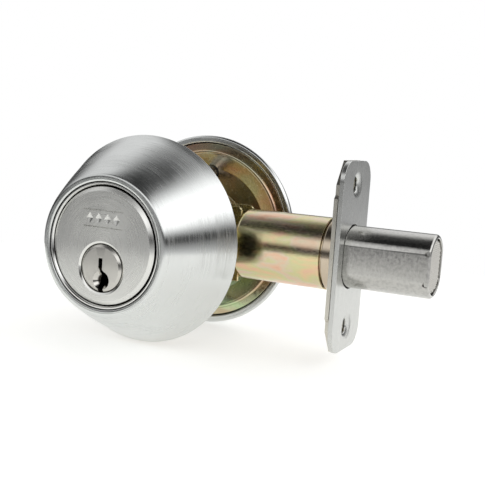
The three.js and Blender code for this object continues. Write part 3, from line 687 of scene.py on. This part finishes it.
def crowned(radius, flat, steps=24):
    """The bolt's section in (y, z): a circle whose two sides are cut flat."""
    corner = math.acos(flat / radius)
    arc = [corner + (math.pi - 2 * corner) * k / steps for k in range(steps + 1)]
    top = [(radius * math.cos(a), radius * math.sin(a)) for a in arc]
    return top + [(-y, -z) for y, z in top]


def ease_edges(piece, width, angle=30):
    """Rounds the edges that are sharper than an angle by a width in mm."""
    sharper = math.radians(angle)
    shape_with(piece, "BEVEL", width=width, segments=3, limit_method="ANGLE", angle_limit=sharper)


low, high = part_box("faceplate")
plate_back, plate_front = low[0] / MM, high[0] / MM
half_width, half_length = high[1] / MM, high[2] / MM
corner_radius = 6.35
bolt_radius, bolt_flat = 9.4, 8.1
bolt_opening = crowned(bolt_radius + clearance, bolt_flat + clearance)
screw_z, hole_radius, sink_radius, land = 21.5, 2.3, 4.1, 0.45
faceplate = prism("brushed_edge_plate", rounded([
    (half_width, half_length, corner_radius), (-half_width, half_length, corner_radius),
    (-half_width, -half_length, corner_radius), (half_width, -half_length, corner_radius),
], 16), plate_back, plate_front, "X")
holes = [prism("tool", bolt_opening, plate_back - past, plate_front + past, "X")]
for side in (-1, 1):
    holes.append(turned("tool", [
        (0, plate_back - past), (hole_radius, plate_back - past), (hole_radius, plate_back + land),
        (sink_radius, plate_front), (sink_radius, plate_front + past), (0, plate_front + past),
    ], "X", (0, side * screw_z), 64))
carve(faceplate, "DIFFERENCE", *holes)
ease_edges(faceplate, 0.18)
brushed_plate = plain_metal(
    "satin chrome, brushed lengthways", "#CDCECB", 0.29, grain=(3000.0, 3000.0, 60.0), bumps=0.12,
)
give(faceplate, brushed_plate, "lock_body", "satin_chrome", "faceplate")


# ---------------------------------------------------------------- backplate
# The plain steel plate behind the faceplate, blanked with clipped, stepped corners and
# bright zinc plated. It is a little narrower than the faceplate.

low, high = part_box("backplate")
half_width, half_length = high[1] / MM, high[2] / MM
corner = [(half_width, half_length - 11), (half_width - 1, half_length - 10),
          (half_width - 1, half_length - 7), (half_width - 6, half_length)]
back_outline = (
    corner + [(-y, z) for y, z in reversed(corner)]
    + [(-y, -z) for y, z in corner] + [(y, -z) for y, z in reversed(corner)]
)
backplate = prism("backing_plate", back_outline, low[0] / MM, high[0] / MM, "X")
carve(
    backplate, "DIFFERENCE",
    prism("tool", bolt_opening, low[0] / MM - past, plate_front, "X"),
    rod(hole_radius, low[0] / MM - past, plate_front, "X", (0, -screw_z)),
    rod(hole_radius, low[0] / MM - past, plate_front, "X", (0, screw_z)),
)
ease_edges(backplate, 0.15)
plate_zinc = plain_metal(
    "bright zinc plate, blanked", "#CBC8BE", 0.28, grain=(2500.0, 2500.0, 150.0), bumps=0.12,
)
give(backplate, plate_zinc, "lock_body", "zinc_steel", "backplate")


# ---------------------------------------------------------------- bolt
# A cast bolt with flat sides and a rounded top and bottom, nickel plated. Its rim is rolled
# over a knurled steel insert and staked down on it at four places. The knurl's teeth are
# drawn a little coarser than real ones, so that they hold up from a distance.

bolt_nickel = plain_metal(
    "nickel plate over a cast bolt", "#BAB9B5", 0.15, cloud_size=0.9, cloud=0.4,
    grain=(2600.0, 2600.0, 350.0), bumps=0.9, patch=0.84,
)
low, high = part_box("bolt_shell")
bolt_back, bolt_front = 53.025, high[0] / MM
lug_start = low[0] / MM
rim, rim_depth = 1.25, 1.8


def lofted(name, sections):
    """Joins like outlines in (y, z) at given x into one closed solid, capped at both ends."""
    bm = bmesh.new()
    rings = [[bm.verts.new((x, y, z)) for y, z in outline] for x, outline in sections]
    count = len(rings[0])
    for first, second in zip(rings, rings[1:]):
        for k in range(count):
            n = (k + 1) % count
            bm.faces.new((first[k], first[n], second[n], second[k]))
    bm.faces.new(rings[0][::-1])
    bm.faces.new(rings[-1])
    bmesh.ops.recalc_face_normals(bm, faces=bm.faces)
    mesh = bpy.data.meshes.new(name)
    bm.to_mesh(mesh)
    bm.free()
    return new_piece(name, mesh)


def bolt_section(inset):
    """The bolt's section, drawn in by an inset, with its four long edges eased."""
    radius, flat = bolt_radius - inset, bolt_flat - inset
    angle = math.acos(flat / radius)
    ease = 0.12
    steps = 28
    points = []
    for side in (1, -1):
        for k in range(steps + 1):
            a = angle + ease + (math.pi - 2 * angle - 2 * ease) * k / steps
            points.append((side * radius * math.cos(a), side * radius * math.sin(a)))
        z = radius * math.sin(angle)
        points.append((-side * (flat - 0.03), side * (z - 0.35)))
        points.append((-side * flat, side * (z - 0.9)))
        points.append((-side * flat, 0.0))
        points.append((-side * flat, -side * (z - 0.9)))
        points.append((-side * (flat - 0.03), -side * (z - 0.35)))
    return points


roll = 0.95
sections = [(bolt_back, bolt_section(0.25)), (bolt_back + 0.25, bolt_section(0))]
for k in range(7):
    turn = math.pi / 2 * k / 6
    inset = roll * (1 - math.cos(turn))
    sections.append((bolt_front - roll + roll * math.sin(turn), bolt_section(inset)))
for k in range(1, 5):
    turn = math.pi / 2 * k / 4
    inset = roll + (rim - roll) * math.sin(turn)
    sections.append((bolt_front - (rim - roll) * (1 - math.cos(turn)), bolt_section(inset)))
sections.append((bolt_front - rim_depth, bolt_section(rim)))
bolt_shell = lofted("bolt_body", sections)
lug_half_width, lug_half_height = 3.4, 7.5
lug = box_piece(
    "tool", (lug_start, bolt_back + 0.5),
    (-lug_half_width, lug_half_width), (-lug_half_height, lug_half_height), 0.3,
)
carve(bolt_shell, "UNION", lug)
rivet_radius, tail_slot_half, roller_bore = 1.5, 1.5, 3.4
rivets = [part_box(name) for name in ("tail_rivet_bottom", "tail_rivet_top")]
rivet_holes = [
    rod(rivet_radius, -4, 4, "Y", ((a[0] + b[0]) / 2 / MM, (a[2] + b[2]) / 2 / MM), 32)
    for a, b in rivets
]
roller_low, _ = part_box("bolt_roller")
stake_radius, stake_height, stake_depth = 0.85, 4.4, 1.1
stakes = [
    rod(
        stake_radius, side * (bolt_flat - stake_depth), side * (bolt_flat + past), "Y",
        (bolt_front - 0.9, z), 32,
    )
    for side in (-1, 1) for z in (-stake_height, stake_height)
]
carve(
    bolt_shell, "DIFFERENCE",
    *stakes,
    rod(roller_bore, roller_low[0] / MM - clearance, bolt_front - rim_depth + 0.5, "X"),
    box_piece(
        "tool", (lug_start - past, bolt_back - 1), (-tail_slot_half, tail_slot_half), (-8, 8),
    ),
    *rivet_holes,
)
give(bolt_shell, bolt_nickel, "bolt", "polished_nickel", "bolt_shell")

end_low, end_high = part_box("bolt_end")
bolt_end_finish = plain_metal("nickel plate, knurled", "#A9A7A2", 0.25)
floor_x, top_x = end_low[0] / MM, end_high[0] / MM
tooth, pitch = 0.4, 0.8
insert = bolt_section(rim + 0.3)
bolt_end = lofted("knurled_insert", [
    (floor_x, insert), (top_x - tooth - 0.15, insert), (top_x - tooth, bolt_section(rim + 0.45)),
])

knurl = bpy.data.node_groups.new("knurled end", "GeometryNodeTree")
knurl.interface.new_socket("Geometry", in_out="INPUT", socket_type="NodeSocketGeometry")
knurl.interface.new_socket("Geometry", in_out="OUTPUT", socket_type="NodeSocketGeometry")
sockets = {}
for label, kind, value in (
    ("Pitch", "NodeSocketFloat", pitch), ("Tooth", "NodeSocketFloat", tooth),
    ("Half Width", "NodeSocketFloat", bolt_flat - rim - 1.0),
    ("Radius", "NodeSocketFloat", bolt_radius - rim - 1.0),
    ("Across", "NodeSocketFloat", 20.0), ("Top", "NodeSocketFloat", top_x),
    ("Metal", "NodeSocketMaterial", bolt_end_finish),
):
    sockets[knurl.interface.new_socket(label, in_out="INPUT", socket_type=kind).identifier] = value
given = add(knurl, "NodeGroupInput").outputs
rows = add(knurl, "ShaderNodeMath", {0: given["Across"], 1: given["Pitch"]}, operation="DIVIDE")
grid = add(knurl, "GeometryNodeMeshGrid", {
    "Size X": given["Across"], "Size Y": given["Across"],
    "Vertices X": rows.outputs[0], "Vertices Y": rows.outputs[0],
})
diagonal = add(knurl, "GeometryNodeTransform", {
    "Geometry": grid.outputs["Mesh"], "Rotation": (0, 0, math.radians(45)),
})
spot = add(knurl, "GeometryNodeInputPosition")
spot_parts = add(knurl, "ShaderNodeSeparateXYZ", {0: spot.outputs[0]})
sideways = add(knurl, "ShaderNodeMath", {0: spot_parts.outputs["X"]}, operation="ABSOLUTE")
reach = add(knurl, "ShaderNodeVectorMath", {0: spot.outputs[0]}, operation="LENGTH")
beside = add(
    knurl, "FunctionNodeCompare", {"A": sideways.outputs[0], "B": given["Half Width"]},
    operation="LESS_THAN",
)
within = add(
    knurl, "FunctionNodeCompare", {"A": reach.outputs["Value"], "B": given["Radius"]},
    operation="LESS_THAN",
)
both = add(
    knurl, "FunctionNodeBooleanMath", {0: beside.outputs[0], 1: within.outputs[0]}, operation="AND",
)
foot_share, tip_share = 0.68, 0.16
foot = add(knurl, "ShaderNodeMath", {0: given["Pitch"], 1: foot_share}, operation="MULTIPLY")
tip = add(knurl, "ShaderNodeMath", {0: given["Pitch"], 1: tip_share}, operation="MULTIPLY")
pyramid = add(knurl, "GeometryNodeMeshCone", {
    "Vertices": 4, "Depth": given["Tooth"],
    "Radius Bottom": foot.outputs[0], "Radius Top": tip.outputs[0],
})
teeth = add(knurl, "GeometryNodeInstanceOnPoints", {
    "Points": diagonal.outputs[0], "Selection": both.outputs[0], "Instance": pyramid.outputs["Mesh"],
})
solid_teeth = add(knurl, "GeometryNodeRealizeInstances", {"Geometry": teeth.outputs[0]})
level = add(knurl, "ShaderNodeMath", {0: given["Top"], 1: given["Tooth"]}, operation="SUBTRACT")
seat = add(knurl, "ShaderNodeCombineXYZ", {0: level.outputs[0]})
turned_in = add(knurl, "GeometryNodeTransform", {
    "Geometry": solid_teeth.outputs[0], "Translation": seat.outputs[0],
    "Rotation": (math.radians(90), 0, math.radians(90)),
})
joined = add(knurl, "GeometryNodeJoinGeometry", {"Geometry": given["Geometry"]})
knurl.links.new(turned_in.outputs[0], joined.inputs[0])
metal = add(knurl, "GeometryNodeSetMaterial", {
    "Geometry": joined.outputs[0], "Material": given["Metal"],
})
add(knurl, "NodeGroupOutput", {"Geometry": metal.outputs[0]})
step = bolt_end.modifiers.new("knurl", "NODES")
step.node_group = knurl
for identifier, value in sockets.items():
    step[identifier] = value
bolt_end.update_tag()
depsgraph = bpy.context.evaluated_depsgraph_get()
shaped = bpy.data.meshes.new_from_object(bolt_end.evaluated_get(depsgraph))
bolt_end.modifiers.clear()
bolt_end.data = shaped
give(bolt_end, bolt_end_finish, "bolt", "polished_nickel", "bolt_end")


# ---------------------------------------------------------------- rose
# The room side's round cover: spun brass, brushed round its axis and satin chromed like the
# collar. The door side shows only its rim.

low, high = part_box("interior_rose")
door_side, rose_front = low[1] / MM, high[1] / MM
rose_radius = high[0] / MM
rim_inner = rose_radius - 2.2
hub_hole, screw_hole = 9.15, 1.8
rose = turned("spun_rose", rounded([
    (rim_inner, door_side, 0.4),
    (rose_radius - 0.5, door_side, 0.5),
    (rose_radius, door_side + 0.6, 0.3),
    (rose_radius, door_side + 1.2, 0.5),
    (rose_radius - 0.6, door_side + 3.2, 3),
    (rose_radius - 3.8, rose_front - 1.8, 2.5),
    (rose_radius - 7, rose_front, 3),
    (0, rose_front),
    (0, rose_front - 1.8),
    (rim_inner - 5.5, rose_front - 1.8, 2),
    (rim_inner - 0.4, door_side + 3.2, 1),
], 8), segments=256)
screw_low, screw_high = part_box("rose_screw")
screw_y = (screw_low[1] + screw_high[1]) / 2 / MM
carve(
    rose, "DIFFERENCE",
    rod(hub_hole, rose_front - 4, rose_front + past, centre=(0, plug_axis), segments=128),
    rod(screw_hole, -rose_radius - past, -rim_inner + 2, "Z", (0, screw_y), 32),
)
give(rose, satin_chrome, "lock_body", "satin_chrome", "interior_rose")


# ---------------------------------------------------------------- thumbturn
# The turn in the room: a zinc casting, satin chromed. Its hub goes through the rose, where a
# clip holds it, and its flat grip has rounded edges for the fingers.

low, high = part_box("thumbturn")
clip_low, clip_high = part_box("turn_clip")
hub_foot, grip_end, grip_half = low[1] / MM, high[1] / MM, high[0] / MM
shoulder = rose_front + 0.3
grip_base = shoulder + 1.5
hub_radius, hub_groove, hub_bore = 9.0, 8.0, 5.1
grip_thick, grip_corner, grip_ease = 3.5, 3.2, 1.1
thumbturn = turned("cast_thumbturn", rounded([
    (0, hub_foot),
    (hub_radius, hub_foot, 0.5),
    (hub_radius, clip_low[1] / MM - 0.2, 0),
    (hub_groove, clip_low[1] / MM - 0.2, 0),
    (hub_groove, clip_high[1] / MM + 0.2, 0),
    (hub_radius, clip_high[1] / MM + 0.2, 0),
    (hub_radius, shoulder, 0),
    (hub_radius + 2, shoulder, 0.15),
    (hub_radius + 2, grip_base, 0.7),
    (0, grip_base),
]), centre=(0, plug_axis), segments=160)
grip = prism("grip", rounded([
    (grip_half, plug_axis + grip_thick, grip_corner), (-grip_half, plug_axis + grip_thick, grip_corner),
    (-grip_half, plug_axis - grip_thick, grip_corner), (grip_half, plug_axis - grip_thick, grip_corner),
], 12), grip_base - 0.3, grip_end)
ease_edges(grip, grip_ease)
carve(thumbturn, "UNION", grip)
tail_bore = rod(hub_bore, hub_foot - past, rose_front, centre=(0, plug_axis), segments=96)
carve(thumbturn, "DIFFERENCE", tail_bore)
turn_chrome = turned_metal("satin chrome, thumbturn", "#D9DAD7", 0.27, centre=(0, plug_axis), stretch=0.6)
give(thumbturn, turn_chrome, "thumbturn", "satin_chrome", "thumbturn")


# ---------------------------------------------------------------- mounting plate
# A pressed steel dish, yellow chromated, that the through bolts clamp to the door. A rolled
# bead stands on the door round the bore, and the middle is open for the crank case.

low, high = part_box("mounting_plate")
plate_radius, bead_front = high[0] / MM, low[1] / MM
opening, dish_radius, bead, bead_half = 14.0, 21.5, 27.2, 0.75
bolt_hole, bolt_x = 2.7, 20
flange, floor, thick = door_side + 0.75, door_side + 2.4, 1.2
bead_arc = []
for k in range(13):
    angle = math.pi * k / 12
    along = flange - (flange - bead_front) * math.sin(angle)
    bead_arc.append((bead + bead_half * math.cos(angle), along, 0))
mounting_plate = turned("pressed_mounting_dish", rounded([
    (plate_radius, flange, 0.15),
    *bead_arc,
    (dish_radius, floor, 1.0),
    (opening, floor, 0.3),
    (opening, floor + thick, 0.3),
    (dish_radius - 0.3, floor + thick, 1.0),
    (bead - 0.9, flange + thick, 0.6),
    (plate_radius, flange + thick, 0.3),
]), segments=256)
for side in (-1, 1):
    hole = rod(bolt_hole, door_side - past, floor + 3, centre=(0, side * bolt_x))
    carve(mounting_plate, "DIFFERENCE", hole)
dish_chromate = chromated(
    "zinc plate, yellow chromate, pressed dish",
    ("#CBDDB0", "#D0D0AC", "#CBB294", "#C8A690", "#C4B094", "#BAB89E"),
    clouds=(45.0, 70.0, 70.0), lines=(900.0, 900.0, 900.0), bumps=0.25, roughness=0.22,
    drift=(0.0, 0.0, 5.0),
)
give(mounting_plate, dish_chromate, "lock_body", "dichromate", "mounting_plate")


# ---------------------------------------------------------------- inner works
# Crank case, crank, tail, pins, springs and screws: their shapes come from the CAD model,
# smoothed and with their edges eased. Each gets its own plated, ground or turned metal; the
# anchor plate and its two posts are chromated with the case that they belong to.

zinc = plain_metal("bright zinc plate", "#B4B7BA", 0.3, cloud_size=2.0, cloud=0.35)
hardened = plain_metal("hardened steel, ground", "#7C7D7F", 0.3)
spring_wire = plain_metal("spring steel", "#9A9CA0", 0.22)
turned_brass = plain_metal("turned brass", "#C9A55A", 0.2)
pin_nickel = plain_metal("nickel silver", "#BDB8A6", 0.2)
case_chromate = chromated(
    "zinc plate, yellow chromate, pressed case", ("#CDB386", "#D3C394", "#D5D0A2"),
    clouds=(60.0, 60.0, 60.0), lines=(500.0, 500.0, 500.0), bumps=0.1, roughness=0.26,
)
finishes = {
    "zinc_steel": zinc, "hardened_steel": hardened, "spring_steel": spring_wire, "brass": turned_brass,
    "nickel_silver": pin_nickel, "dichromate": case_chromate,
}
replaced = {
    "collar", "collar_ring", "cylinder_body", "plug", "latch_tube", "front_bush", "faceplate",
    "backplate", "bolt_shell", "bolt_end", "interior_rose", "thumbturn", "mounting_plate",
}
own_finish = {node: case_chromate for node in ("anchor_plate", "post_top", "post_bottom")}
slots = {part["node"]: part["material_slot"] for part in frame["record"]["subparts"]}
bodies = frame["record"]["behaviour"]["bodies"]
node_body = {node: body for body, nodes in bodies.items() for node in nodes}
for node, thing in sorted(frame["nodes"].items()):
    if node in replaced:
        continue
    bm = bmesh.new()
    bm.from_mesh(thing.data)
    bmesh.ops.remove_doubles(bm, verts=bm.verts, dist=0.001 * MM)
    bmesh.ops.scale(bm, vec=(1 / MM,) * 3, verts=bm.verts)
    mesh = bpy.data.meshes.new(node)
    bm.to_mesh(mesh)
    bm.free()
    piece = new_piece(f"{node}_smooth", mesh)
    if "spring" not in node:
        ease_edges(piece, 0.1, 50)
    finish = own_finish.get(node, finishes[slots[node]])
    give(piece, finish, node_body[node], slots[node], node, sharp=38)


# ---------------------------------------------------------------- floor, light and camera
# A plain pale light table under the rose's rim, a studio with pale walls and a dark ceiling
# for the metal to reflect, one large soft lamp, and the camera above and right of the face.

(_, _, lowest), _ = cad_box
gap = 0.2 * MM
bpy.ops.mesh.primitive_circle_add(
    vertices=96, radius=0.22, fill_type="NGON", location=(0.02, 0, lowest - gap),
)
ground = bpy.context.object
ground.name = "floor"
opal = bpy.data.materials.new("opal acrylic, lit from below")
opal.use_nodes = True
tree = opal.node_tree
tree.nodes.clear()
place = add(tree, "ShaderNodeTexCoord")
fibre = add(tree, "ShaderNodeTexNoise", {
    "Vector": place.outputs["Object"], "Scale": 400.0, "Detail": 2.0,
})
bump = add(tree, "ShaderNodeBump", {
    "Height": fibre.outputs["Fac"], "Strength": 0.02, "Distance": 0.1 * MM,
})
shader = add(tree, "ShaderNodeBsdfPrincipled", {
    "Base Color": linear("#D0D0CE"), "Roughness": 0.9, "Normal": bump.outputs[0],
    "Specular IOR Level": 0.1, "Emission Color": linear("#FFFFFD"), "Emission Strength": 0.6,
})
add(tree, "ShaderNodeOutputMaterial", {"Surface": shader.outputs[0]})
ground.data.materials.append(opal)

world = bpy.data.worlds.new("studio")
bpy.context.scene.world = world
world.use_nodes = True
tree = world.node_tree
tree.nodes.clear()
direction = add(tree, "ShaderNodeTexCoord")
split = add(tree, "ShaderNodeSeparateXYZ", {0: direction.outputs["Generated"]})
front = add(tree, "ShaderNodeMath", {0: split.outputs["Y"], 1: -1.0}, operation="MULTIPLY")
front = add(tree, "ShaderNodeMath", {0: front.outputs[0], 1: 0.0}, operation="MAXIMUM")
square = add(tree, "ShaderNodeMath", {0: split.outputs["Z"], 1: 2.0}, operation="POWER")
lean = add(tree, "ShaderNodeMath", {0: front.outputs[0], 1: square.outputs[0]}, operation="MULTIPLY")
front_lean = 0.49  # the dark ceiling hangs lower in front of the lock than behind it
lean = add(tree, "ShaderNodeMath", {0: lean.outputs[0], 1: front_lean}, operation="MULTIPLY")
height = add(tree, "ShaderNodeMath", {0: split.outputs["Z"], 1: lean.outputs[0]}, operation="ADD")
height = add(tree, "ShaderNodeMapRange", {
    "Value": height.outputs[0], "From Min": -1.0, "From Max": 1.0, "To Min": 0.0, "To Max": 1.0,
})
bands = add(tree, "ShaderNodeValToRGB", {"Fac": height.outputs[0]})
ramp = bands.color_ramp
# How bright the studio is at each height, from straight down (-1) to straight up (1).
stops = (
    (-1.0, 0.9), (-0.25, 0.9), (-0.12, 0.5), (-0.03, 0.3), (0.03, 0.2),
    (0.09, 0.035), (0.18, 0.045), (0.28, 0.5), (0.36, 0.95), (0.48, 1.25),
    (0.72, 1.25), (0.81, 1.0), (0.88, 0.55), (0.94, 0.1), (1.0, 0.03),
)
for at, _ in stops[1:-1]:
    ramp.elements.new((at + 1) / 2)
for stop, (_, value) in zip(ramp.elements, stops):
    stop.color = (value, value, value * 1.01, 1)
brighter_right = 0.5
sides = add(
    tree, "ShaderNodeMath", {0: split.outputs["X"], 1: brighter_right, 2: 1.0}, operation="MULTIPLY_ADD",
)
lit = add(tree, "ShaderNodeVectorMath", {0: bands.outputs["Color"]}, operation="SCALE")
tree.links.new(sides.outputs[0], lit.inputs["Scale"])
plain = add(tree, "ShaderNodeBackground", {"Color": (1, 1, 1, 1), "Strength": 1.0})
studio = add(tree, "ShaderNodeBackground", {"Color": lit.outputs[0], "Strength": 1.0})
path = add(tree, "ShaderNodeLightPath")
mix = add(tree, "ShaderNodeMixShader", {
    0: path.outputs["Is Camera Ray"], 1: studio.outputs[0], 2: plain.outputs[0],
})
add(tree, "ShaderNodeOutputWorld", {"Surface": mix.outputs[0]})

lamp_data = bpy.data.lights.new("top lamp", "AREA")
lamp_data.size = 1.2
lamp_data.energy = 2.0
top_lamp = bpy.data.objects.new("top lamp", lamp_data)
top_lamp.location = (0, 0, 1.0)
top_lamp.visible_glossy = False  # it brightens the table but stays out of the metal's reflections
bpy.context.scene.collection.objects.link(top_lamp)

azimuth, elevation, roll_angle = math.radians(24.79), math.radians(7.39), math.radians(3.86)
distance, aim = 0.26131, Vector((0.035, -0.010, 0))
shift_left, shift_up = 0.0057, 0.00215
film_width, focal_length = 36, 64.2544
behind = Vector((
    math.sin(azimuth) * math.cos(elevation),
    -math.cos(azimuth) * math.cos(elevation),
    math.sin(elevation),
))
level = Vector((math.cos(azimuth), math.sin(azimuth), 0))
upright = behind.cross(level)
right = math.cos(roll_angle) * level + math.sin(roll_angle) * upright
up = -math.sin(roll_angle) * level + math.cos(roll_angle) * upright
eye = aim - shift_left * right + shift_up * up + distance * behind
camera_data = bpy.data.cameras.new("camera")
camera_data.sensor_width = film_width
camera_data.lens = focal_length
camera_data.clip_start = 0.01
camera = bpy.data.objects.new("camera", camera_data)
turn = Matrix((right, up, behind)).transposed().to_4x4()
camera.matrix_world = Matrix.Translation(eye) @ turn
bpy.context.scene.collection.objects.link(camera)
bpy.context.scene.camera = camera
bpy.context.scene.view_settings.view_transform = "Standard"
